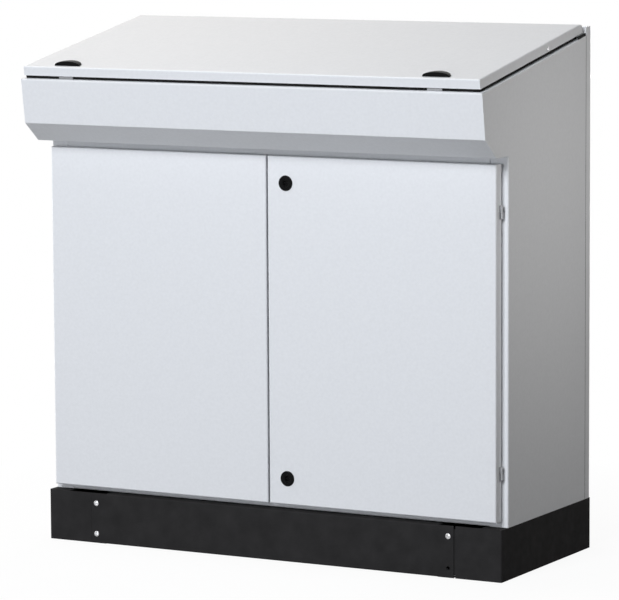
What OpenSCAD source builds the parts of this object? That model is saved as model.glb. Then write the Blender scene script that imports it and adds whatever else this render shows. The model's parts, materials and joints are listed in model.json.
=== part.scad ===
// Free-standing control desk console of folded sheet steel, on a black plinth.
// The front faces -Y, +X is to the right seen from the front, and z = 0 is the floor.

/* [Overall] */
// Width over the side panels
console_w = 1000; // [800:10:1400]
// Depth of the plinth, front face to rear face
plinth_d = 400; // [390:5:600]
// Height of the plinth
plinth_h = 100; // [90:5:150]
// Reach of the desk's front edge past the plinth's front face
overhang = 83; // [76:1:120]
// Height of the desk's front edge above the floor
desk_front_h = 924; // [900:1:1100]
// Slope of the lid, in degrees
desk_slope = 10.2; // [8:0.1:14]
// Thickness of the folded sheets
sheet = 2; // [1.5:0.5:2.5]
// Outer radius of the sheets' bends
bend_r = 3; // [3:0.5:4]

/* [Lower cabinet] */
// Set-back of the front frame behind the plinth's front face
frame_setback = 28; // [28:1:50]
// Set-back of the rear panel from the plinth's rear face
rear_setback = 4; // [0:1:20]
// Width of the front frame beside, over and under the doorways
frame_flange = 38; // [36:1:50]
// Depth of the returns that stiffen the front frame
frame_return = 12; // [8:1:18]
// Depth of the rear panel's folded edges
tray_d = 22; // [15:1:40]
// Rise of the rear panel's top edge over the lid's rear corner on the cabinet
tray_rise = 17.5; // [12:0.5:19]
// Width of the lips that turn in round the rear panel
tray_lip = 20; // [12:1:30]

/* [Desk front] */
// Height of the desk's front face, down to the chamfer
fascia_drop = 87; // [60:1:90]
// Lean of the front face, back from its top to its lower edge
fascia_lean = 13; // [5:1:20]
// Height of the chamfer under the front face
chamfer_h = 37; // [20:1:60]
// Distance of the chamfer's lower edge behind the desk's front edge
chamfer_back = 59.5; // [50:0.5:70]

/* [Doors] */
// Width of the frame left free outside each door
door_side_margin = 12.8; // [12:0.1:16]
// Gap below the doors, above the plinth
door_bottom_margin = 11.5; // [6:0.5:16]
// Gap above the doors, below the overhang
door_top_margin = 14.5; // [6:0.5:16]
// Gap between the two doors
door_gap = 3.5; // [2.5:0.5:6]
// Depth of the door's folded edge
door_d = 23; // [20:0.5:23]
// Set-back of the door's face behind the plinth's front face
door_setback = 2; // [0:0.5:2]
// Width of the lip that turns in round the door's edge
door_lip = 20; // [18:1:24]
// Width of the seal strip on the doors' lips
seal_w = 12; // [8:1:14]
// Distance of the upper hinges' top below the door's top edge
hinge_top = 77; // [60:1:200]
// Distance of the lower hinges' foot above the door's bottom edge
hinge_bottom = 80; // [60:1:200]
// Height of a door hinge
hinge_h = 25; // [20:1:50]
// Distance of the hinge pins in front of the doors' rear edge
hinge_rear = 5.5; // [5:0.5:12]
// Radius of a door hinge's knuckle
knuckle_r = 2.4; // [2:0.1:4]
// Radius of the door hinges' pins
pin_r = 1.2; // [1:0.1:1.5]
// Radial clearance round the hinge pins
pin_clear = 0.05; // [0.02:0.01:0.1]

/* [Door locks] */
// Distance of the locks from the door's free edge
lock_inset = 39.85; // [38:0.05:60]
// Distance of the upper lock below the door's top edge
lock_top = 51.5; // [45:0.5:70]
// Distance of the lower lock above the door's bottom edge
lock_bottom = 51; // [45:0.5:70]
// Radius of the lock's front ring
lock_ring_r = 15; // [13:0.5:16]
// Radius of the lock's body behind the door
lock_body_r = 11; // [9.5:0.5:11.5]
// Radius of the turning insert in the lock
insert_r = 8; // [6:0.5:8.5]
// Reach of the cam from the lock's axis
cam_reach = 29; // [26:1:32]

/* [Lid] */
// Set-back of the lid's edge from the cabinet's front and sides
lid_inset = 5.5; // [4:0.5:8]
// Gap between the lid's edge and the cabinet
lid_gap = 6; // [4:0.5:7]
// Height of the lid's folded edge
lid_skirt = 18.5; // [18:0.5:24]
// Gap between the lid's rear edge and the rear panel, along the slope
lid_rear_gap = 3.34; // [2.84:0.1:18.84]
// Radius of the lid's rear edge
lid_rear_r = 11; // [9:0.5:11]
// Width of the frame that carries the lid's seal at the sides
lid_flange = 30; // [24:1:36]
// Width of the frame that carries the lid's seal at the front
lid_front_flange = 18; // [16:0.5:19]
// Distance of the lid's seal from the cabinet's edges
lid_seal_set = 8; // [7:0.5:8.5]
// Width of the lid's seal
lid_seal_w = 7; // [5:0.5:7]
// Height of the rim round the desk's opening
rim_h = 4; // [3:0.5:5]
// Depth of the trough behind the desk's opening
trough_depth = 8; // [6:0.5:12]
// Height of the lid's stiffeners
lid_rail_h = 12; // [8:0.5:12]
// Distance of the lid locks' axis from the lid's sides
lid_lock_side = 94.5; // [70:0.5:120]
// Distance of the lid locks' axis behind the lid's front edge
lid_lock_inset = 27; // [27:0.5:40]
// Radius of the lid lock's knob
knob_r = 28; // [20:0.5:30]
// Height of the lid lock's knob
knob_h = 9; // [6:0.5:15]
// Distance of the knob's flat face in front of the lock's axis
knob_front = 17.5; // [10:0.5:18]
// Distance of the lid hinges' middle from the lid's sides
lid_hinge_side = 164.5; // [150:0.5:250]
// Length of a lid hinge
lid_hinge_l = 60; // [40:5:100]
// Radius of a lid hinge's knuckle
lid_knuckle_r = 4; // [3.5:0.5:4.5]
// Radius of the lid hinges' pins
lid_pin_r = 2; // [1.5:0.5:2.5]

/* [Plinth] */
// Width of the plinth's end pieces, seen from the front
plinth_end_w = 96.6; // [80:0.1:150]
// Width of the end pieces' top and bottom flanges
plinth_flange = 45; // [40:1:70]
// Width of the covers' top and bottom flanges
cover_flange = 40; // [32:1:60]
// Sum of the gaps at the two ends of a cover
cover_play = 4; // [1:0.5:6]
// Distance of the cover's screws from its ends
screw_inset = 11.8; // [9:0.1:20]
// Height of the upper row of cover screws
screw_high = 79.7; // [70:0.1:82]
// Height of the lower row of cover screws
screw_low = 18.5; // [12:0.1:30]
// Radius of the screws' heads
screw_head_r = 5.5; // [4.5:0.5:7]
// Height of the screws' heads
screw_head_h = 1.9; // [1.5:0.1:3]
// Radius of the screw holes in the cover
screw_hole_r = 3.6; // [3:0.1:4]
// Radius of the floor fixing holes
floor_hole_r = 6; // [4:0.5:8]
// Distance of the floor fixing holes from the plinth's sides
floor_hole_x = 28; // [20:1:35]
// Distance of the floor fixing holes from the plinth's front and rear
floor_hole_y = 40; // [20:1:80]

/* [Inside] */
// Half the width of the post between the doorways
post_half_w = 22; // [20:0.5:24]
// Half the width of the post's channel
post_web_half_w = 6; // [5:0.5:8]
// Depth of the post's channel
post_d = 22; // [14:1:30]
// Margin between the mounting plate and the side panels
plate_side = 50; // [46:1:120]
// Gap between the floor panel and the mounting plate
plate_foot = 60; // [40:5:150]
// Height of the desk's overhang over the mounting plate's top edge
plate_head = 80; // [40:5:150]
// Gap between the mounting plate and the rear panel's lips
plate_stand = 30; // [15:1:60]
// Distance of the cable opening in the floor from the side panels
gland_side = 250; // [150:10:350]
// Depth of the cable opening in the floor
gland_d = 150; // [100:5:200]

/* [Hidden] */
$fn = 48;

powder_coat = "#dde0e3";
plinth_black = "#262524";
bright_steel = "#b9bcc0";
seal_black = "#1b1b1c";
lock_black = "#161617";

// Gap between pieces that seat on each other, the foam's gap on the slope, and an overrun for cuts
seat = 0.3;
hairline = 0.05;
over = 1;

// Steps of a bend, wall of the moulded locks, clearance of their turning pieces
bend_steps = 6;
wall = 3;
turn_clear = 0.2;

// Distance of the desk's opening in front of the lid's pin
trough_setback = 14;

// Planes of the console: the box round it is centred on the origin
total_d = plinth_d + overhang + screw_head_h;
front_y = overhang - total_d / 2;
rear_y = front_y + plinth_d;
desk_y = front_y - overhang;
frame_y = front_y + frame_setback;
soffit_h = desk_front_h - fascia_drop - chamfer_h;
body_rear_y = rear_y - rear_setback;
tray_y = body_rear_y - tray_d;
half_w = console_w / 2;
inner_w = half_w - sheet;
fit_w = 2 * (inner_w - seat);
fascia_low_y = desk_y + fascia_lean;
fascia_low_z = desk_front_h - fascia_drop;
soffit_y = desk_y + chamfer_back;

// The desk's slope: u runs back along it from the desk's front edge, and n is square to it
side_rear_h = desk_front_h + (tray_y - desk_y) * tan(desk_slope);
tray_top_h = side_rear_h + tray_rise;

// Lid and the frame under it
lid_u0 = lid_inset;
lid_u1 = (tray_y - desk_y) / cos(desk_slope) - lid_rear_gap;
lid_l = lid_u1 - lid_u0;
lid_n1 = lid_gap + lid_skirt;
lid_half_w = half_w - lid_inset;
lid_under_n = lid_n1 - sheet;
lid_pivot_u = lid_u1 - lid_rear_r;
lid_pivot_n = lid_n1 - lid_rear_r;
lid_lock_u = lid_u0 + lid_lock_inset;
trough_u = lid_pivot_u - trough_setback;
trough_n = -trough_depth;
rail_end_u = (tray_y - desk_y - (trough_depth + sheet) * sin(desk_slope)) / cos(desk_slope);
lid_lock_x = lid_half_w - lid_lock_side;
lid_hinge_x = lid_half_w - lid_hinge_side;
cam_t = 3;
cam_clear = 5;
lid_cam_n = -sheet - cam_clear - cam_t;
lid_cam_reach = 25;
sleeve_r = 8;
keeper_t = 1.5;
knob_rim = 1.6;

// Doors
door_z0 = plinth_h + door_bottom_margin;
door_z1 = soffit_h - door_top_margin;
door_x0 = door_gap / 2;
door_x1 = half_w - door_side_margin;
door_y0 = front_y + door_setback;
door_y1 = door_y0 + door_d;
door_w = door_x1 - door_x0;
door_h = door_z1 - door_z0;
door_mid_x = (door_x0 + door_x1) / 2;
door_mid_z = (door_z0 + door_z1) / 2;
hinge_gap = 0.4;
hinge_x = door_x1 + knuckle_r + hinge_gap;
hinge_y = door_y1 - hinge_rear;
hinge_zs = [door_z0 + hinge_bottom, door_z1 - hinge_top - hinge_h];
half_hinge_h = hinge_h / 2;
lock_x = door_x0 + lock_inset;
lock_upper_z = door_z1 - lock_top;
lock_lower_z = door_z0 + lock_bottom;
lock_cam_y = frame_y + sheet + cam_clear;
flange_in_x = half_w - frame_flange;

// Plinth
cover_w = console_w - 2 * plinth_end_w - cover_play;
cover_x = seat - cover_play / 2;
tab_w = 32;
tab_root = 10;
cover_edge = 6;
tab_h = plinth_h - 2 * cover_edge;

// Inside
plate_y = tray_y - sheet - plate_stand;
plate_w = console_w - 2 * plate_side;
plate_z = plinth_h + plate_foot;
plate_h = soffit_h - plate_head - plate_z;
gland_w = console_w - 2 * gland_side;
gland_y = (frame_y + tray_y) / 2;

// Draws its children on the right (side = 1) or mirrored to the left (side = -1)
module sided(side) {
    mirror([side < 0 ? 1 : 0, 0, 0]) children();
}

// Turns a drawing in the (y, z) plane into a bar along X
module along_x(x0, x1) {
    translate([x0, 0, 0]) rotate([90, 0, 90]) linear_extrude(x1 - x0) children();
}

// A round bar along Y from y0 to y1
module along_y(x, z, y0, y1, r) {
    translate([x, y0, z]) rotate([-90, 0, 0]) cylinder(h = y1 - y0, r = r);
}

// Stands its children on the desk's slope: X stays, Y runs along u and Z along n
module on_slope() {
    translate([0, desk_y, desk_front_h]) rotate([desk_slope, 0, 0]) children();
}

// A vector's unit vector, the vector a quarter turn to its left, and the vector turned by an angle
function unit(v) = v / norm(v);
function left_of(v) = [-v[1], v[0]];
function turned(v, angle) = [v[0] * cos(angle) - v[1] * sin(angle), v[0] * sin(angle) + v[1] * cos(angle)];

// Points round the bend at b of a sheet whose face runs from a over b to c, at a depth below that face
function bend_points(a, b, c, depth) =
    let (
        n0 = left_of(unit(b - a)),
        n1 = left_of(unit(c - b)),
        angle = atan2(n0[0] * n1[1] - n0[1] * n1[0], n0 * n1),
        side = angle > 0 ? 1 : -1,
        face_r = side > 0 ? bend_r : bend_r - sheet,
        centre = b + side * face_r * (n0 + n1) / (1 + n0 * n1)
    )
    [for (k = [0 : bend_steps]) centre - side * (face_r - side * depth) * turned(n0, angle * k / bend_steps)];

// Section of a folded sheet: its face follows the path and its thickness lies to the path's left
module folded_sheet(path) {
    last = len(path) - 1;
    start = path[0] + sheet * left_of(unit(path[1] - path[0]));
    end = path[last] + sheet * left_of(unit(path[last] - path[last - 1]));
    face = [for (i = [1 : last - 1]) each bend_points(path[i - 1], path[i], path[i + 1], 0)];
    back = [for (i = [1 : last - 1]) each bend_points(path[i - 1], path[i], path[i + 1], sheet)];
    polygon(concat([path[0]], face, [path[last], end], [for (i = [len(back) - 1 : -1 : 0]) back[i]], [start]));
}

// Outline of a block w wide and d deep whose two front corners are round
module fold_outline(w, d, r) {
    translate([-w / 2, r]) square([w, d - r]);
    translate([r - w / 2, 0]) square([w - 2 * r, d]);
    for (side = [-1, 1]) {
        translate([side * (w / 2 - r), r]) circle(r);
    }
}

// A block with round front edges, its front face at y = 0 and its middle at x = z = 0
module folded_block(w, h, d, r) {
    intersection() {
        translate([0, 0, -h / 2]) linear_extrude(h) fold_outline(w, d, r);
        rotate([0, 90, 0]) translate([0, 0, -w / 2]) linear_extrude(w) fold_outline(h, d, r);
    }
}

// A pan of sheet with round folds and a lip turned in round its open side
module folded_pan(w, h, d, lip) {
    difference() {
        folded_block(w, h, d, bend_r);
        translate([0, sheet, 0]) folded_block(w - 2 * sheet, h - 2 * sheet, d - 2 * sheet, bend_r - sheet);
        translate([lip - w / 2, d - sheet - over, lip - h / 2])
            cube([w - 2 * lip, sheet + 2 * over, h - 2 * lip]);
    }
}

// One U-shaped end of the plinth, with flanges above and below and a tab behind each cover
module plinth_end(side) {
    joint_x = half_w - plinth_end_w;
    color(plinth_black) sided(side) difference() {
        union() {
            linear_extrude(plinth_h) folded_sheet([
                [joint_x, front_y], [half_w, front_y], [half_w, rear_y], [joint_x, rear_y]
            ]);
            for (z = [0, plinth_h - sheet]) {
                translate([half_w - plinth_flange, front_y + sheet / 2, z])
                    cube([plinth_flange - sheet / 2, plinth_d - sheet, sheet]);
            }
            for (facing = [-1, 1]) {
                on_plinth(facing) translate([joint_x - tab_w, sheet, cover_edge])
                    cube([tab_w + tab_root, sheet, tab_h]);
            }
        }
        for (y = [front_y + floor_hole_y, rear_y - floor_hole_y]) {
            translate([half_w - floor_hole_x, y, -over]) cylinder(h = sheet + 2 * over, r = floor_hole_r);
        }
        for (facing = [-1, 1]) {
            for (z = [screw_low, screw_high]) {
                on_plinth(facing)
                    along_y(cover_end_x(side) - screw_inset, z, sheet - over, 2 * sheet + over, screw_hole_r);
            }
        }
    }
}

// Distance of the cover's end from the middle, on one side
function cover_end_x(side) = cover_w / 2 + side * cover_x;

// Stands its children on the plinth's front (facing = -1) or rear face, with Y running inwards
module on_plinth(facing) {
    translate([0, facing < 0 ? front_y : rear_y, 0]) mirror([0, facing < 0 ? 0 : 1, 0]) children();
}

// A cover between the plinth's ends, folded back above and below between the ends' tabs
module plinth_cover(facing) {
    flange_w = cover_w - 2 * tab_w - 2 * over;
    color(plinth_black) on_plinth(facing) difference() {
        translate([cover_x, 0, 0]) {
            along_x(-flange_w / 2, flange_w / 2) folded_sheet([
                [cover_flange, plinth_h], [0, plinth_h], [0, 0], [cover_flange, 0]
            ]);
            for (side = [-1, 1]) {
                sided(side) translate([flange_w / 2 - over, 0, 0])
                    cube([(cover_w - flange_w) / 2 + over, sheet, plinth_h]);
            }
        }
        for (side = [-1, 1]) {
            for (z = [screw_low, screw_high]) {
                along_y(side * (cover_end_x(side) - screw_inset), z, -over, sheet + over, screw_hole_r);
            }
        }
    }
}

// A raised-head screw with a cross recess that holds a cover; facing is -1 in front and 1 at the rear
module cover_screw(side, z, facing) {
    shank_r = screw_hole_r - seat;
    recess_w = 1.2;
    recess_l = 1.2 * screw_head_r;
    on_plinth(facing) translate([side * (cover_end_x(side) - screw_inset), 0, z])
        rotate([90, 0, 0]) difference() {
            rotate_extrude() polygon([
                [0, -3 * sheet], [shank_r, -3 * sheet], [shank_r, 0], [screw_head_r, 0],
                [screw_head_r, screw_head_h / 3], [screw_head_r - 1, 0.75 * screw_head_h],
                [screw_head_r / 2, screw_head_h], [0, screw_head_h]
            ]);
            for (turn = [45, 135]) {
                rotate([0, 0, turn]) translate([-recess_l / 2, -recess_w / 2, screw_head_h / 4])
                    cube([recess_l, recess_w, screw_head_h]);
            }
        }
}

// All cover screws: the lower right one at the front is missing
module plinth_screws() {
    color(bright_steel) {
        cover_screw(-1, screw_low, -1);
        cover_screw(-1, screw_high, -1);
        cover_screw(1, screw_high, -1);
        for (side = [-1, 1]) {
            for (z = [screw_low, screw_high]) {
                cover_screw(side, z, 1);
            }
        }
    }
}

// A point of the desk's slope as [y, z]
function slope_point(u, n) = [
    desk_y + u * cos(desk_slope) - n * sin(desk_slope),
    desk_front_h + u * sin(desk_slope) + n * cos(desk_slope)
];

// Outline of a side panel's flat sheet in the (y, z) plane
module side_outline() {
    polygon([
        [tray_y, plinth_h], [frame_y + bend_r, plinth_h], [frame_y + bend_r, soffit_h], [soffit_y, soffit_h],
        [fascia_low_y, fascia_low_z], [desk_y, desk_front_h], [tray_y, side_rear_h]
    ]);
}

// A side panel, folded into the front frame, a rear flange and the frame under the lid
module side_panel(side) {
    frame_top = soffit_h - seat;
    lap = 10;
    rear_flange = tray_lip + lap;
    rear_flange_top = side_rear_h - trough_depth - 3 * lap;
    foot_top = plinth_h + 2 * sheet;
    u0 = lid_front_flange + seat;
    u1 = trough_u - seat;
    rim_x = half_w - lid_flange + sheet;
    color(powder_coat) sided(side) {
        difference() {
            along_x(inner_w, half_w) side_outline();
            on_slope() translate([inner_w - over, u0, -bend_r]) cube([sheet + 2 * over, u1 - u0, bend_r + over]);
        }
        translate([0, 0, plinth_h]) linear_extrude(2 * sheet + over) folded_sheet([
            [flange_in_x, frame_y], [half_w, frame_y], [half_w, frame_y + bend_r + over]
        ]);
        translate([0, 0, foot_top]) linear_extrude(frame_top - foot_top) folded_sheet([
            [flange_in_x, frame_y + frame_return], [flange_in_x, frame_y], [half_w, frame_y],
            [half_w, frame_y + bend_r + over]
        ]);
        translate([half_w - rear_flange, tray_y - sheet, foot_top])
            cube([rear_flange - sheet / 2, sheet, rear_flange_top - foot_top]);
        on_slope() translate([0, u1, 0]) rotate([90, 0, 0]) linear_extrude(u1 - u0) folded_sheet([
            [half_w, -bend_r - over], [half_w, 0], [rim_x, 0], [rim_x, rim_h]
        ]);
    }
}

// The rear panel: a tray whose upper edge stands up behind the lid
module rear_panel() {
    h = tray_top_h - plinth_h;
    color(powder_coat) translate([0, body_rear_y, plinth_h + h / 2]) mirror([0, 1, 0])
        folded_pan(console_w, h, tray_d - seat, tray_lip);
}

// The desk's front: frame under the lid, front face, chamfer, soffit and the head of the door frame
module desk_front() {
    head_z = soffit_h - frame_flange;
    rim_u = lid_front_flange - sheet;
    rim_end_x = half_w - lid_flange - seat;
    frame_end_x = flange_in_x - seat;
    end_w = half_w - frame_end_x;
    color(powder_coat) difference() {
        along_x(-inner_w, inner_w) folded_sheet([
            slope_point(rim_u, rim_h), slope_point(rim_u, 0), [desk_y, desk_front_h],
            [fascia_low_y, fascia_low_z], [soffit_y, soffit_h], [frame_y, soffit_h],
            [frame_y, head_z], [frame_y + frame_return, head_z]
        ]);
        for (side = [-1, 1]) {
            sided(side) translate([frame_end_x, frame_y - over, head_z - over])
                cube([end_w, frame_return + 2 * over, frame_flange + over]);
            sided(side) on_slope() translate([rim_end_x, rim_u - over, 0])
                cube([half_w - rim_end_x, sheet + 2 * over, rim_h + over]);
        }
    }
}

// The rail that closes the desk behind the lid: a trough with a rim in front, under the lid's hinges
module rear_rail() {
    color(powder_coat) on_slope() along_x(-fit_w / 2, fit_w / 2) folded_sheet([
        [trough_u, rim_h], [trough_u, trough_n - sheet], [rail_end_u, trough_n - sheet],
        [rail_end_u, -sheet]
    ]);
}

// The floor of the cabinet, with the foot of the door frame and an opening for cables
module floor_panel() {
    foot_end_x = flange_in_x - seat;
    foot_top = plinth_h + frame_flange;
    rear_end = tray_y - sheet - seat;
    color(powder_coat) difference() {
        union() {
            along_x(-foot_end_x, foot_end_x) folded_sheet([
                [frame_y + frame_return, foot_top], [frame_y, foot_top], [frame_y, plinth_h],
                [rear_end, plinth_h]
            ]);
            translate([-fit_w / 2, frame_y + bend_r, plinth_h])
                cube([fit_w, rear_end - frame_y - bend_r, sheet]);
        }
        translate([-gland_w / 2, gland_y - gland_d / 2, plinth_h - over])
            cube([gland_w, gland_d, sheet + 2 * over]);
    }
}

// The plate that closes the cable opening from inside
module gland_plate() {
    rim = 15;
    color(bright_steel) translate([-gland_w / 2 - rim, gland_y - gland_d / 2 - rim, plinth_h + sheet])
        cube([gland_w + 2 * rim, gland_d + 2 * rim, sheet]);
}

// The post between the doorways, a hat section whose channel opens to the front
module centre_post() {
    z0 = plinth_h + sheet;
    z1 = soffit_h;
    channel_x = post_web_half_w - sheet;
    channel_y = frame_y + post_d - sheet;
    lap = frame_flange + seat;
    color(powder_coat) difference() {
        translate([0, 0, z0]) linear_extrude(z1 - z0) folded_sheet([
            [-post_half_w, frame_y], [-channel_x, frame_y], [-channel_x, channel_y],
            [channel_x, channel_y], [channel_x, frame_y], [post_half_w, frame_y]
        ]);
        for (z = [plinth_h - over, z1 - lap]) {
            translate([-post_half_w - over, frame_y - over, z])
                cube([2 * (post_half_w + over), frame_return + seat + over, lap + over]);
        }
    }
}

// The zinc-plated plate that carries the equipment, with its edges folded back at the sides
module mounting_plate() {
    fold = 12;
    color(bright_steel) {
        translate([-plate_w / 2, plate_y - sheet, plate_z]) cube([plate_w, sheet, plate_h]);
        for (side = [-1, 1]) {
            sided(side) translate([plate_w / 2 - sheet, plate_y - sheet, plate_z]) cube([sheet, fold, plate_h]);
        }
    }
}

// Four studs that hold the mounting plate in front of the rear panel
module plate_studs() {
    stud_r = 4;
    inset = 30;
    rear_face = body_rear_y - sheet;
    color(bright_steel) for (side = [-1, 1]) {
        for (z = [plate_z + inset, plate_z + plate_h - inset]) {
            sided(side) along_y(plate_w / 2 - inset, z, plate_y, rear_face, stud_r);
        }
    }
}

// The black foam seal round the desk's opening
module lid_seal() {
    out = lid_seal_set;
    seal_h = lid_gap - seat - hairline;
    rear_u = trough_u - seat;
    color(seal_black) on_slope() {
        translate([out - half_w, out, hairline]) cube([console_w - 2 * out, lid_seal_w, seal_h]);
        for (side = [-1, 1]) {
            sided(side) translate([half_w - out - lid_seal_w, out + lid_seal_w, hairline])
                cube([lid_seal_w, rear_u - out - lid_seal_w, seal_h]);
        }
    }
}

// Two keepers on the frame under the lid, in front of its seal, that the lid locks hold to
module lid_keepers() {
    keeper_w = 31;
    keeper_h = lid_gap - 1;
    color(powder_coat) for (side = [-1, 1]) {
        sided(side) on_slope() translate([lid_lock_x - keeper_w / 2, lid_seal_set - seat - keeper_t, 0])
            cube([keeper_w, keeper_t, keeper_h]);
    }
}

// Outline in the (u, n) plane of the arm that carries a lid hinge, from the rear rail to the pin
module lid_hinge_arm() {
    low_n = lid_pivot_n - lid_knuckle_r;
    foot_n = trough_n + bend_r - sheet;
    polygon([
        [trough_u + sheet, foot_n], [trough_u + 2 * sheet, foot_n], [trough_u + 2 * sheet, low_n],
        [lid_pivot_u, low_n], [lid_pivot_u, low_n + 2 * sheet], [trough_u + sheet, low_n + 2 * sheet]
    ]);
}

// The fixed halves of the lid's hinges, each with its pin
module lid_hinge_brackets() {
    half_l = lid_hinge_l / 2;
    color(bright_steel) for (side = [-1, 1]) {
        sided(side) on_slope() {
            along_x(lid_hinge_x - half_l, lid_hinge_x - seat) {
                lid_hinge_arm();
                translate([lid_pivot_u, lid_pivot_n]) circle(lid_knuckle_r);
            }
            along_x(lid_hinge_x - half_l, lid_hinge_x + half_l) translate([lid_pivot_u, lid_pivot_n]) circle(lid_pin_r);
        }
    }
}

// The moving halves of the lid's hinges, each with its leaf under the lid
module lid_hinge_leaves() {
    half_l = lid_hinge_l / 2;
    leaf_l = 25;
    color(bright_steel) for (side = [-1, 1]) {
        sided(side) on_slope() along_x(lid_hinge_x + seat, lid_hinge_x + half_l) difference() {
            union() {
                translate([lid_pivot_u, lid_pivot_n]) circle(lid_knuckle_r);
                translate([lid_pivot_u - lid_knuckle_r, lid_pivot_n]) square([sheet, lid_under_n - lid_pivot_n]);
                translate([lid_pivot_u - lid_knuckle_r - leaf_l, lid_under_n - sheet]) square([leaf_l + sheet, sheet]);
            }
            translate([lid_pivot_u, lid_pivot_n]) circle(lid_pin_r + pin_clear);
        }
    }
}

// The fixed halves of one side's door hinges: an arm from the frame, a knuckle and the pin
module frame_hinges(side) {
    color(bright_steel) for (z = hinge_zs) {
        sided(side) translate([hinge_x, hinge_y, z]) {
            cylinder(h = half_hinge_h, r = knuckle_r);
            translate([-sheet, 0, 0]) cube([2 * sheet, frame_y - hinge_y, half_hinge_h]);
            cylinder(h = hinge_h, r = pin_r);
        }
    }
}

// The moving halves of one door's hinges: bored knuckles on short blocks at the door's edge
module door_hinges(side) {
    h = half_hinge_h - seat;
    color(bright_steel) for (z = hinge_zs) {
        sided(side) translate([hinge_x, hinge_y, z + half_hinge_h + seat]) difference() {
            union() {
                cylinder(h = h, r = knuckle_r);
                translate([door_x1 - hinge_x, -knuckle_r, 0]) cube([hinge_x - door_x1, 2 * knuckle_r, h]);
            }
            translate([0, 0, -over]) cylinder(h = hinge_h, r = pin_r + pin_clear);
        }
    }
}

// A door's skin: a pan of sheet with a lip turned in; the right door has a hole for each lock
module door_skin(side) {
    color(powder_coat) sided(side) difference() {
        translate([door_mid_x, door_y0, door_mid_z]) folded_pan(door_w, door_h, door_d, door_lip);
        if (side > 0) {
            for (z = [lock_lower_z, lock_upper_z]) {
                along_y(lock_x, z, door_y0 - over, door_y0 + sheet + over, lock_body_r + seat);
            }
        }
    }
}

// Two upright channels that stiffen a door from inside, open towards the skin
module door_rails(side) {
    rail_w = 30;
    rail_d = 14;
    inset = 70;
    h = door_h - 2 * door_lip - 2 * bend_r;
    color(powder_coat) for (x = [door_x0 + inset + rail_w, door_x1 - inset]) {
        sided(side) translate([x - rail_w / 2, door_y0 + sheet, door_mid_z - h / 2]) difference() {
            cube([rail_w, rail_d, h]);
            translate([sheet, -over, -over]) cube([rail_w - 2 * sheet, rail_d - sheet + over, h + 2 * over]);
        }
    }
}

// The black foam seal on the lip of a door
module door_seal(side) {
    edge = (door_lip - seal_w) / 2;
    seal_t = frame_y - door_y1 - seat;
    color(seal_black) sided(side) translate([door_mid_x, door_y1, door_mid_z]) difference() {
        translate([edge - door_w / 2, 0, edge - door_h / 2]) cube([door_w - 2 * edge, seal_t, door_h - 2 * edge]);
        translate([edge + seal_w - door_w / 2, -over, edge + seal_w - door_h / 2])
            cube([door_w - 2 * (edge + seal_w), seal_t + 2 * over, door_h - 2 * (edge + seal_w)]);
    }
}

// The fixed part of a door lock: a front ring, a body through the door and a nut behind it
module lock_body(z) {
    ring_t = 2;
    ring_edge = 1;
    nut_t = 5;
    color(lock_black) translate([lock_x, door_y0, z]) rotate([-90, 0, 0]) difference() {
        union() {
            translate([0, 0, -ring_t]) rotate_extrude() polygon([
                [0, ring_t], [0, ring_edge / 2], [lock_body_r - ring_edge, 0], [lock_ring_r - ring_edge, 0],
                [lock_ring_r, ring_edge], [lock_ring_r, ring_t]
            ]);
            cylinder(h = lock_cam_y - door_y0 - seat, r = lock_body_r);
            translate([0, 0, sheet]) cylinder(h = nut_t, r = lock_body_r + wall, $fn = 6);
        }
        translate([0, 0, -ring_t - over]) cylinder(h = lock_cam_y - door_y0 + ring_t + 2 * over, r = insert_r);
    }
}

// The turning insert of a door lock, with a double-bit key's pin and bits in its recess
module lock_insert(z) {
    recess = 4;
    face = 1.2;
    key_pin_r = 1.6;
    bit_w = 2.2;
    recess_r = insert_r - 0.8 * wall;
    color(lock_black) translate([lock_x, door_y0 - face, z]) rotate([-90, 0, 0]) {
        difference() {
            cylinder(h = lock_cam_y - door_y0 + face, r = insert_r - turn_clear / 2);
            translate([0, 0, -over]) cylinder(h = recess + over, r = recess_r);
        }
        translate([0, 0, face / 3]) cylinder(h = recess, r = key_pin_r);
        translate([wall - insert_r, -bit_w / 2, face]) cube([2 * (insert_r - wall), bit_w, recess - face + over]);
    }
}

// The cam of a door lock, upright when the lock is open
module lock_cam(z, up) {
    half_cam = 8;
    color(bright_steel) translate([lock_x, lock_cam_y, z]) mirror([0, 0, up ? 0 : 1])
        rotate([-90, 0, 0]) {
            cylinder(h = cam_t, r = half_cam);
            translate([-half_cam, -cam_reach + half_cam / 2, 0])
                cube([2 * half_cam, cam_reach - half_cam / 2, cam_t]);
            translate([-half_cam / 2, -cam_reach, 0]) cube([half_cam, half_cam, cam_t]);
        }
}

// Outline of the lid's section in the (u, n) plane, a distance in from its outer faces
module lid_section(inset) {
    r0 = bend_r - inset / 2;
    r1 = lid_rear_r - inset;
    u0 = lid_u0 + inset;
    u1 = lid_u1 - inset;
    n1 = lid_n1 - inset;
    translate([u0, lid_gap - inset]) square([u1 - u0, lid_pivot_n - lid_gap + inset]);
    translate([u0, lid_pivot_n - over]) square([u1 - r1 - u0, n1 - r0 - lid_pivot_n + over]);
    translate([u0 + r0, lid_pivot_n]) square([u1 - r1 - u0 - r0, n1 - lid_pivot_n]);
    translate([u0 + r0, n1 - r0]) circle(r0);
    translate([u1 - r1, n1 - r1]) circle(r1);
}

// The lid's solid, a distance in from its outer faces, with round edges at its sides too
module lid_solid(inset) {
    w = 2 * (lid_half_w - inset);
    intersection() {
        along_x(-w / 2, w / 2) lid_section(inset);
        translate([0, lid_u1 + over, lid_n1 - inset]) rotate([90, 0, 0])
            linear_extrude(lid_l + 2 * over) mirror([0, 1]) fold_outline(w, lid_skirt + over, bend_r - inset / 2);
    }
}

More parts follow.
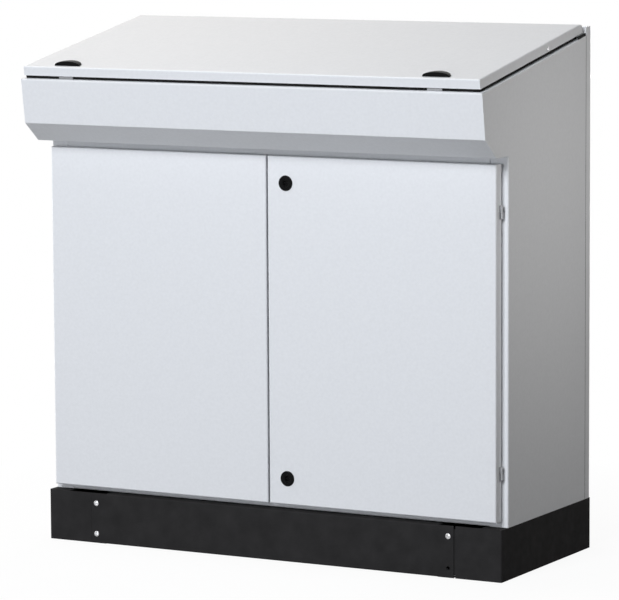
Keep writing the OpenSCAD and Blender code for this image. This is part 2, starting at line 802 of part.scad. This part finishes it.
// The lid's skin: a pan with a large round edge behind, open below, with a hole for each lock
module lid_skin() {
    color(powder_coat) on_slope() difference() {
        lid_solid(0);
        lid_solid(sheet);
        for (side = [-1, 1]) {
            translate([side * lid_lock_x, lid_lock_u, lid_under_n - over])
                cylinder(h = sheet + 2 * over, r = sleeve_r + seat);
        }
    }
}

// Three channels that stiffen the lid from below
module lid_rails() {
    rail_w = 40;
    end_gap = 20;
    u0 = lid_lock_u + knob_r + end_gap / 2;
    u1 = trough_u - end_gap;
    color(powder_coat) on_slope() for (x = [-lid_hinge_x, 0, lid_hinge_x]) {
        translate([x - rail_w / 2, u0, lid_under_n - lid_rail_h]) difference() {
            cube([rail_w, u1 - u0, lid_rail_h]);
            translate([sheet, -over, sheet]) cube([rail_w - 2 * sheet, u1 - u0 + 2 * over, lid_rail_h]);
        }
    }
}

// The sleeves that guide the lid locks, each with a nut under the lid
module lid_lock_sleeves() {
    nut_t = 4;
    color(lock_black) on_slope() for (side = [-1, 1]) {
        translate([side * lid_lock_x, lid_lock_u, 0]) difference() {
            union() {
                translate([0, 0, lid_cam_n + cam_t + seat])
                    cylinder(h = lid_n1 - lid_cam_n - cam_t - seat, r = sleeve_r);
                translate([0, 0, lid_under_n - nut_t]) cylinder(h = nut_t, r = sleeve_r + sheet, $fn = 6);
            }
            translate([0, 0, lid_cam_n]) cylinder(h = lid_n1 - lid_cam_n + over, r = sleeve_r - wall);
        }
    }
}

// A half-moon knob of a lid lock: half of an elliptical dome, flat in front, with its shaft to the cam
module lid_knob(side) {
    dome = [for (a = [0 : 15 : 90]) [knob_r * cos(a), knob_rim + (knob_h - knob_rim) * sin(a)]];
    color(lock_black) on_slope() translate([side * lid_lock_x, lid_lock_u, 0]) {
        translate([0, -knob_front, lid_n1 + seat]) intersection() {
            rotate_extrude() polygon(concat([[0, 0], [knob_r, 0]], dome));
            translate([-knob_r, 0, 0]) cube([2 * knob_r, knob_r, knob_h]);
        }
        translate([0, 0, lid_cam_n + cam_t])
            cylinder(h = lid_n1 - lid_cam_n - cam_t + seat + over, r = sleeve_r - wall - turn_clear);
    }
}

// The cam of a lid lock, along the lid's edge when the lock is open
module lid_cam(side) {
    half_cam = 6;
    color(bright_steel) on_slope() translate([side * lid_lock_x, lid_lock_u, lid_cam_n]) {
        cylinder(h = cam_t, r = half_cam);
        translate([side > 0 ? -lid_cam_reach : 0, -half_cam, 0]) cube([lid_cam_reach, 2 * half_cam, cam_t]);
    }
}

plinth_end(-1);  // plinth_end_left
plinth_end(1);  // plinth_end_right
plinth_cover(-1);  // plinth_cover_front
plinth_cover(1);  // plinth_cover_rear
plinth_screws();
side_panel(-1);  // side_panel_left
side_panel(1);  // side_panel_right
rear_panel();
desk_front();
rear_rail();
floor_panel();
gland_plate();
centre_post();
mounting_plate();
plate_studs();
lid_seal();
lid_keepers();
lid_hinge_brackets();
frame_hinges(-1);  // frame_hinges_left
frame_hinges(1);  // frame_hinges_right
door_skin(-1);  // door_skin_left
door_rails(-1);  // door_rails_left
door_seal(-1);  // door_seal_left
door_hinges(-1);  // door_hinges_left
door_skin(1);  // door_skin_right
door_rails(1);  // door_rails_right
door_seal(1);  // door_seal_right
door_hinges(1);  // door_hinges_right
lock_body(lock_upper_z);  // lock_body_upper
lock_body(lock_lower_z);  // lock_body_lower
lock_insert(lock_upper_z);  // lock_insert_upper
lock_insert(lock_lower_z);  // lock_insert_lower
lock_cam(lock_upper_z, false);  // lock_cam_upper
lock_cam(lock_lower_z, true);  // lock_cam_lower
lid_skin();
lid_rails();
lid_hinge_leaves();
lid_lock_sleeves();
lid_knob(-1);  // lid_knob_left
lid_knob(1);  // lid_knob_right
lid_cam(-1);  // lid_cam_left
lid_cam(1);  // lid_cam_right
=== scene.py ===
"""Looks of the control desk console: camera, finishes, small fittings, floor and studio light.

All sizes are in metres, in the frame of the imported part: the front faces -Y and z = 0 is the floor.
"""

import json
import math

import bpy
import bmesh
from mathutils import Matrix, Vector


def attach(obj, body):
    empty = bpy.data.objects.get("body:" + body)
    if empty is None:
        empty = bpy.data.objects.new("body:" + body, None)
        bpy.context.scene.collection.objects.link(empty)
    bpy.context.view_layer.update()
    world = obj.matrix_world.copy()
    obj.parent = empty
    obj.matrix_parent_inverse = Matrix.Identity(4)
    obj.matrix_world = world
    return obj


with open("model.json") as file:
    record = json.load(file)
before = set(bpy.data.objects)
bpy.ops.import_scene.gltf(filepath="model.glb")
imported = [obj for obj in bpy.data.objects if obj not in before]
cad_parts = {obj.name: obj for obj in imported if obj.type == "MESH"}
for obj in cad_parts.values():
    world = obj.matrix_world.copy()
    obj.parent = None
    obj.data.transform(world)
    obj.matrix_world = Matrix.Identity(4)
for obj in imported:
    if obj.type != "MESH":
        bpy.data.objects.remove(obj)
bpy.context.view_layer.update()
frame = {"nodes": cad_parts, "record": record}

nodes = frame["nodes"]
scene = bpy.context.scene


# Camera

AZIMUTH = math.radians(28.657)
PITCH = math.radians(7.119)
ROLL = math.radians(-0.331)
FOCAL_PX = 3790.7
IMAGE_W_PX = 619
SENSOR_MM = 36.0
AIM = Vector((0.0, 0.04055, 0.5))
DISTANCE = 7.4546
OFF_RIGHT = -0.01404
OFF_UP = -0.01499


def make_camera():
    """The camera of the photograph, from its turn, pitch, roll and distance."""
    back = Vector((math.sin(AZIMUTH) * math.cos(PITCH), -math.cos(AZIMUTH) * math.cos(PITCH), math.sin(PITCH)))
    level = Vector((math.cos(AZIMUTH), math.sin(AZIMUTH), 0.0))
    upright = back.cross(level)
    right = math.cos(ROLL) * level + math.sin(ROLL) * upright
    up = -math.sin(ROLL) * level + math.cos(ROLL) * upright
    place = AIM + DISTANCE * back + OFF_RIGHT * right + OFF_UP * up
    data = bpy.data.cameras.new("camera")
    data.sensor_width = SENSOR_MM
    data.lens = FOCAL_PX / IMAGE_W_PX * SENSOR_MM
    data.clip_end = 100.0
    camera = bpy.data.objects.new("camera", data)
    turn = Matrix((right, up, back)).transposed().to_4x4()
    camera.matrix_world = Matrix.Translation(place) @ turn
    scene.collection.objects.link(camera)
    scene.camera = camera


make_camera()


# Materials

class Finish:
    """A procedural material: a Principled shader with helpers that add nodes to it."""

    def __init__(self, name, colour, roughness, metallic=0.0, specular=0.5):
        self.material = bpy.data.materials.new(name)
        self.material.use_nodes = True
        self.tree = self.material.node_tree
        self.shader = self.tree.nodes["Principled BSDF"]
        self.colour = colour
        self.shader.inputs["Base Color"].default_value = (*colour, 1.0)
        self.shader.inputs["Roughness"].default_value = roughness
        self.shader.inputs["Metallic"].default_value = metallic
        self.shader.inputs["Specular IOR Level"].default_value = specular
        self.coords = self.tree.nodes.new("ShaderNodeTexCoord").outputs["Object"]
        self.height = None

    def node(self, kind, **inputs):
        """A new node with values or sockets for its named inputs."""
        made = self.tree.nodes.new(kind)
        for name, value in inputs.items():
            self.put(made.inputs[name.replace("_", " ")], value)
        return made

    def put(self, socket, value):
        if isinstance(value, bpy.types.NodeSocket):
            self.tree.links.new(value, socket)
        else:
            socket.default_value = value

    def noise(self, size, detail=2.0, stretch=(1.0, 1.0, 1.0)):
        """Noise whose blotches are about size metres across; stretch shortens them along an axis."""
        mapping = self.node("ShaderNodeMapping", Vector=self.coords, Scale=stretch)
        made = self.node("ShaderNodeTexNoise", Vector=mapping.outputs[0], Scale=1.0 / size, Detail=detail)
        return made.outputs["Fac"]

    def cells(self, size):
        """Distance to the nearest of scattered points about size metres apart."""
        made = self.node("ShaderNodeTexVoronoi", Vector=self.coords, Scale=1.0 / size)
        return made.outputs["Distance"]

    def spread(self, factor, low, high, from_low=0.3, from_high=0.7):
        """Maps a factor to a range of numbers."""
        made = self.node("ShaderNodeMapRange")
        self.put(made.inputs[0], factor)
        made.inputs[1].default_value = from_low
        made.inputs[2].default_value = from_high
        made.inputs[3].default_value = low
        made.inputs[4].default_value = high
        return made.outputs[0]

    def vary_colour(self, factor, amount):
        """Makes the colour lighter and darker by a share of itself."""
        made = self.node("ShaderNodeMix")
        made.data_type = "RGBA"
        made.inputs[0].default_value = 0.0
        self.put(made.inputs[0], factor)
        current = self.shader.inputs["Base Color"]
        dark = [c * (1.0 - amount) for c in self.colour]
        light = [min(1.0, c * (1.0 + amount)) for c in self.colour]
        made.inputs[6].default_value = (*dark, 1.0)
        made.inputs[7].default_value = (*light, 1.0)
        self.tree.links.new(made.outputs[2], current)

    def vary_roughness(self, factor, low, high):
        self.put(self.shader.inputs["Roughness"], self.spread(factor, low, high))

    def bump(self, factor, depth):
        """Relief of that depth in metres."""
        made = self.node("ShaderNodeBump", Strength=1.0, Distance=depth, Height=factor)
        if self.height is not None:
            self.tree.links.new(self.height, made.inputs["Normal"])
        self.height = made.outputs[0]
        self.tree.links.new(self.height, self.shader.inputs["Normal"])


def powder_coat():
    """Light grey powder coat with a fine orange peel."""
    finish = Finish("powder_coat", (0.765, 0.778, 0.8), 0.45, specular=0.3)
    finish.vary_colour(finish.noise(0.006, 4.0), 0.05)
    finish.vary_roughness(finish.noise(0.02, 4.0), 0.4, 0.52)
    finish.bump(finish.noise(0.0022, 2.0), 0.00012)
    return finish.material


def plinth_black():
    """Satin black coat, a little uneven, with faint dust."""
    finish = Finish("plinth_black", (0.029, 0.0282, 0.0286), 0.6, specular=0.01)
    finish.vary_colour(finish.noise(0.03, 5.0), 0.3)
    finish.vary_roughness(finish.noise(0.012, 4.0), 0.52, 0.68)
    finish.bump(finish.noise(0.0018, 2.0), 0.00012)
    return finish.material


def zinc():
    """Zinc-plated sheet with soft cloudy patches."""
    finish = Finish("zinc", (0.48, 0.49, 0.51), 0.4, metallic=1.0)
    finish.vary_colour(finish.cells(0.012), 0.12)
    finish.vary_roughness(finish.noise(0.01, 4.0), 0.3, 0.5)
    finish.bump(finish.noise(0.004, 3.0), 0.00005)
    return finish.material


def shaded_zinc():
    """Zinc on small parts in the gaps, with painted shade: its colour is darker than on the sheets to stand in
    for the shade of the gaps, and its roughness is duller.
    """
    finish = Finish("shaded_zinc", (0.26, 0.265, 0.275), 0.5, metallic=1.0)
    finish.vary_colour(finish.noise(0.004, 4.0), 0.25)
    finish.vary_roughness(finish.noise(0.003, 3.0), 0.42, 0.62)
    finish.bump(finish.noise(0.0015, 3.0), 0.00005)
    return finish.material


def bright_screws():
    finish = Finish("bright_screws", (0.5, 0.5, 0.51), 0.26, metallic=1.0)
    finish.vary_colour(finish.noise(0.002, 3.0), 0.1)
    finish.vary_roughness(finish.noise(0.001, 3.0), 0.16, 0.32)
    finish.bump(finish.noise(0.0006, 2.0), 0.00002)
    return finish.material


def seal():
    """Matt black foam with open pores."""
    finish = Finish("seal", (0.006, 0.006, 0.006), 0.9, specular=0.2)
    finish.vary_colour(finish.noise(0.002, 3.0), 0.4)
    finish.bump(finish.cells(0.0008), 0.0002)
    return finish.material


def lock_black():
    """Satin black moulded plastic with a fine grain."""
    finish = Finish("lock_black", (0.0025, 0.0025, 0.0028), 0.32, specular=0.07)
    finish.vary_colour(finish.noise(0.004, 3.0), 0.25)
    finish.vary_roughness(finish.noise(0.003, 3.0), 0.28, 0.42)
    finish.bump(finish.noise(0.0005, 2.0), 0.00002)
    return finish.material


FINISHES = {
    "powder_coat": powder_coat(),
    "plinth_black": plinth_black(),
    "zinc": zinc(),
    "shaded_zinc": shaded_zinc(),
    "bright_screws": bright_screws(),
    "seal": seal(),
    "lock_black": lock_black(),
}


# Keepers and hinges that sit in the gaps, dressed in zinc darkened with painted shade.
SHADED_ZINC_NODES = (
    "lid_keepers", "frame_hinges_left", "frame_hinges_right", "door_hinges_left", "door_hinges_right",
)


def dress(obj, slot):
    """Gives an object the finish of a material slot."""
    obj.data.materials.clear()
    obj.data.materials.append(FINISHES[slot])


def dress_cad_nodes():
    for entry in frame["record"]["subparts"]:
        dress(nodes[entry["node"]], entry["material_slot"])
    # Painted shade: the keepers and hinges in the gaps get the darker zinc.
    for node in SHADED_ZINC_NODES:
        dress(nodes[node], "shaded_zinc")


dress_cad_nodes()


# Softer edges on the pieces that show

SOFT_EDGE = 0.0005
SOFT_PIECES = (
    "plinth_end_left", "plinth_end_right", "side_panel_left", "side_panel_right",
    "lid_knob_left", "lid_knob_right", "lock_body_upper", "lock_body_lower",
)


def soften(obj, width):
    """Breaks an object's sharp edges with a narrow round."""
    weld = obj.modifiers.new("joined_corners", "WELD")
    weld.merge_threshold = 1e-6
    bevel = obj.modifiers.new("soft_edges", "BEVEL")
    bevel.width = width
    bevel.segments = 2
    bevel.limit_method = "ANGLE"
    bevel.angle_limit = math.radians(35.0)
    bevel.harden_normals = True


for piece in SOFT_PIECES:
    soften(nodes[piece], SOFT_EDGE)


# Small fittings

DESK_SLOPE = math.radians(10.2)
LID_SIDE_X = 0.4945
SCREW_ALONG = 0.302
SCREW_OUT = 0.0118
SCREW_HEAD_R = 0.0043
SCREW_HEAD_H = 0.0022
DESK_EDGE = Vector((0.0, -0.24245, 0.924))


def on_lid_slope(x, along, out):
    """A place on the lid: x across it, along its slope from the desk's front edge, and out from that."""
    back = Vector((0.0, math.cos(DESK_SLOPE), math.sin(DESK_SLOPE)))
    normal = Vector((0.0, -math.sin(DESK_SLOPE), math.cos(DESK_SLOPE)))
    return DESK_EDGE + Vector((x, 0.0, 0.0)) + along * back + out * normal


def lathe(name, profile, steps=32):
    """An object turned from (radius, height) points about its Z axis."""
    mesh = bpy.data.meshes.new(name)
    shape = bmesh.new()
    rings = []
    for radius, height in profile:
        if radius == 0.0:
            rings.append([shape.verts.new((0.0, 0.0, height))])
            continue
        angles = [2.0 * math.pi * k / steps for k in range(steps)]
        rings.append([shape.verts.new((radius * math.cos(a), radius * math.sin(a), height)) for a in angles])
    for low, high in zip(rings, rings[1:]):
        for k in range(steps):
            corners = [low[k % len(low)], low[(k + 1) % len(low)], high[(k + 1) % len(high)], high[k % len(high)]]
            unique = list(dict.fromkeys(corners))
            shape.faces.new(unique)
    bmesh.ops.recalc_face_normals(shape, faces=shape.faces)
    shape.to_mesh(mesh)
    shape.free()
    mesh.shade_smooth()
    obj = bpy.data.objects.new(name, mesh)
    scene.collection.objects.link(obj)
    return obj


def lid_side_screw():
    """The small raised screw in the right side of the lid."""
    r, h = SCREW_HEAD_R, SCREW_HEAD_H
    head = lathe("lid_side_screw", [(0.0, -0.001), (r, -0.001), (r, 0.35 * h), (0.8 * r, 0.8 * h), (0.4 * r, h), (0.0, h)])
    head.matrix_world = Matrix.Translation(on_lid_slope(LID_SIDE_X, SCREW_ALONG, SCREW_OUT)) @ Matrix.Rotation(
        math.radians(90.0), 4, "Y")
    dress(head, "bright_screws")
    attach(head, "lid")


lid_side_screw()


def strip(name, near, far, slot, body):
    """A prism between two rings of points, in the finish of a slot, that rides on a body."""
    shape = bmesh.new()
    low = [shape.verts.new(point) for point in near]
    high = [shape.verts.new(point) for point in far]
    ring = len(low)
    for k in range(ring):
        shape.faces.new((low[k], low[(k + 1) % ring], high[(k + 1) % ring], high[k]))
    shape.faces.new(low)
    shape.faces.new(high)
    bmesh.ops.recalc_face_normals(shape, faces=shape.faces)
    mesh = bpy.data.meshes.new(name)
    shape.to_mesh(mesh)
    shape.free()
    obj = bpy.data.objects.new(name, mesh)
    scene.collection.objects.link(obj)
    dress(obj, slot)
    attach(obj, body)


def half_oval(half_w, rise, steps=8):
    """Points (across, up) of a half oval that stands on its flat side."""
    angles = [math.pi * k / steps for k in range(steps + 1)]
    return [(-half_w * math.cos(a), rise * math.sin(a)) for a in angles]


JOINT_X = 0.5
JOINT_Y = 0.21455
JOINT_FOOT = 0.1005
JOINT_TOP = 1.005
# Size of the black strip that paints the seam's shade.
JOINT_SHADE_HALF_W = 0.0007
JOINT_SHADE_RISE = 0.00006


def joint_shade_strip(side, name):
    """A thin black strip along the joint between a side panel and the folded edge of the rear panel: painted
    shade of the seam.
    """
    outline = [(side * (JOINT_X + up), JOINT_Y + across) for across, up in half_oval(JOINT_SHADE_HALF_W, JOINT_SHADE_RISE)]
    foot = [(x, y, JOINT_FOOT) for x, y in outline]
    top = [(x, y, JOINT_TOP) for x, y in outline]
    # The seal finish gives the strip its black, as painted shade.
    strip(name, foot, top, "seal", "cabinet")


joint_shade_strip(-1, "joint_shade_strip_left")
joint_shade_strip(1, "joint_shade_strip_right")

# A black strip painted as the shade in the lid's gap near the rear corner.
GAP_SHADE_X = 0.4987
GAP_SHADE_HALF_W = 0.001
GAP_SHADE_FROM = 0.428
GAP_SHADE_TO = 0.464
GAP_SHADE_FOOT = 0.00005
GAP_SHADE_RISE = 0.0056


def gap_shade_strip(side, name):
    """A black strip on the side panel's top edge that carries the black line of the lid's gap to the rear corner:
    painted shade of the deep gap.
    """
    outline = half_oval(GAP_SHADE_HALF_W, GAP_SHADE_RISE)
    near = [on_lid_slope(side * GAP_SHADE_X + across, GAP_SHADE_FROM, GAP_SHADE_FOOT + up) for across, up in outline]
    far = [on_lid_slope(side * GAP_SHADE_X + across, GAP_SHADE_TO, GAP_SHADE_FOOT + up) for across, up in outline]
    strip(name, near, far, "seal", "cabinet")


gap_shade_strip(-1, "gap_shade_strip_left")
gap_shade_strip(1, "gap_shade_strip_right")

# Floor, backdrop and light

FLOOR_SIZE = 60.0
FLOOR_SEEN = (0.93, 0.93, 0.93)
FLOOR_LIT = (0.12, 0.12, 0.12)
NEAR_WHITE = 0.92
FADE_FROM = 0.6
FADE_TO = 1.2
PLINTH_CENTRE_Y = 0.04055
PLINTH_HALF_W = 0.5
PLINTH_HALF_D = 0.2
PLINTH_EDGE = 0.012


def arithmetic(tree, operation, *values):
    made = tree.nodes.new("ShaderNodeMath")
    made.operation = operation
    for socket, value in zip(made.inputs, values):
        if isinstance(value, bpy.types.NodeSocket):
            tree.links.new(value, socket)
        else:
            socket.default_value = value
    return made.outputs[0]


def seen_directly(tree):
    """A socket that is 1 for rays that show the background: from the camera, a mirror or glass."""
    rays = tree.nodes.new("ShaderNodeLightPath")
    total = rays.outputs["Is Camera Ray"]
    for name in ("Is Glossy Ray", "Is Transmission Ray"):
        total = arithmetic(tree, "MAXIMUM", total, rays.outputs[name])
    return total


def mapped(tree, value, from_min, from_max, to_min, to_max):
    made = tree.nodes.new("ShaderNodeMapRange")
    made.inputs["From Min"].default_value = from_min
    made.inputs["From Max"].default_value = from_max
    made.inputs["To Min"].default_value = to_min
    made.inputs["To Max"].default_value = to_max
    tree.links.new(value, made.inputs["Value"])
    return made.outputs[0]


def outside_plinth(tree, place):
    """A socket that is 0 on the floor under the console, where no light comes in, and 1 round it."""
    axes = tree.nodes.new("ShaderNodeSeparateXYZ")
    tree.links.new(place, axes.inputs[0])
    across = arithmetic(tree, "ABSOLUTE", axes.outputs["X"])
    along = arithmetic(tree, "ABSOLUTE", arithmetic(tree, "SUBTRACT", axes.outputs["Y"], PLINTH_CENTRE_Y))
    return arithmetic(
        tree, "MAXIMUM",
        mapped(tree, across, PLINTH_HALF_W - PLINTH_EDGE, PLINTH_HALF_W, 0.0, 1.0),
        mapped(tree, along, PLINTH_HALF_D - PLINTH_EDGE, PLINTH_HALF_D, 0.0, 1.0),
    )


def make_floor():
    """A pale floor that keeps the console's shadow and turns into the white background farther out."""
    bpy.ops.mesh.primitive_plane_add(size=FLOOR_SIZE)
    floor = bpy.context.object
    floor.name = "floor"
    material = bpy.data.materials.new("floor")
    material.use_nodes = True
    tree = material.node_tree
    tree.nodes.remove(tree.nodes["Principled BSDF"])
    seen = seen_directly(tree)
    matt = tree.nodes.new("ShaderNodeBsdfDiffuse")
    level = mapped(tree, seen, 0.0, 1.0, FLOOR_LIT[0], FLOOR_SEEN[0])
    tree.links.new(level, matt.inputs["Color"])
    white = tree.nodes.new("ShaderNodeEmission")
    place = tree.nodes.new("ShaderNodeTexCoord")
    length = tree.nodes.new("ShaderNodeVectorMath")
    length.operation = "LENGTH"
    tree.links.new(place.outputs["Object"], length.inputs[0])
    fade = mapped(tree, length.outputs["Value"], FADE_FROM, FADE_TO, NEAR_WHITE, 1.0)
    open_floor = arithmetic(tree, "MULTIPLY", fade, outside_plinth(tree, place.outputs["Object"]))
    share = arithmetic(tree, "MULTIPLY", open_floor, seen)
    blend = tree.nodes.new("ShaderNodeMixShader")
    tree.links.new(share, blend.inputs[0])
    tree.links.new(matt.outputs[0], blend.inputs[1])
    tree.links.new(white.outputs[0], blend.inputs[2])
    tree.links.new(blend.outputs[0], tree.nodes["Material Output"].inputs["Surface"])
    floor.data.materials.append(material)


def area_light(name, place, aim, size, watts, colour=(1.0, 1.0, 1.0)):
    data = bpy.data.lights.new(name, "AREA")
    data.shape = "RECTANGLE"
    data.size, data.size_y = size
    data.energy = watts
    data.color = colour
    light = bpy.data.objects.new(name, data)
    light.location = place
    toward = Vector(aim) - Vector(place)
    light.rotation_euler = toward.to_track_quat("-Z", "Y").to_euler()
    scene.collection.objects.link(light)


def make_world(strength):
    """White behind everything that is seen, and a soft even light from all round."""
    world = bpy.data.worlds.new("studio")
    world.use_nodes = True
    scene.world = world
    tree = world.node_tree
    background = tree.nodes["Background"]
    background.inputs["Color"].default_value = (1.0, 1.0, 1.0, 1.0)
    level = mapped(tree, seen_directly(tree), 0.0, 1.0, strength, 1.0)
    tree.links.new(level, background.inputs["Strength"])


make_floor()
make_world(0.01)
area_light("key", (0.15, -4.9, 3.8), (0.0, -0.1, 0.6), (2.0, 2.0), 252.0, (0.935, 0.96, 1.0))
area_light("low", (-0.2, -5.2, 0.8), (0.0, -0.1, 0.6), (1.6, 0.8), 67.0, (0.93, 0.955, 1.0))
area_light("top", (-1.2, 0.3, 3.0), (-0.1, 0.1, 0.95), (1.6, 1.4), 30.0, (1.0, 0.94, 0.86))
area_light("right", (1.42, 0.05, 0.84), (0.5, 0.05, 0.84), (0.5, 0.25), 3.4, (1.0, 0.98, 0.955))
area_light("left", (-4.5, -0.4, 0.7), (-0.5, 0.0, 0.5), (2.0, 1.0), 80.0)
area_light("rear", (-0.6, 5.0, 1.0), (-0.2, 0.2, 0.6), (2.4, 1.2), 170.0)

scene.view_settings.view_transform = "Standard"
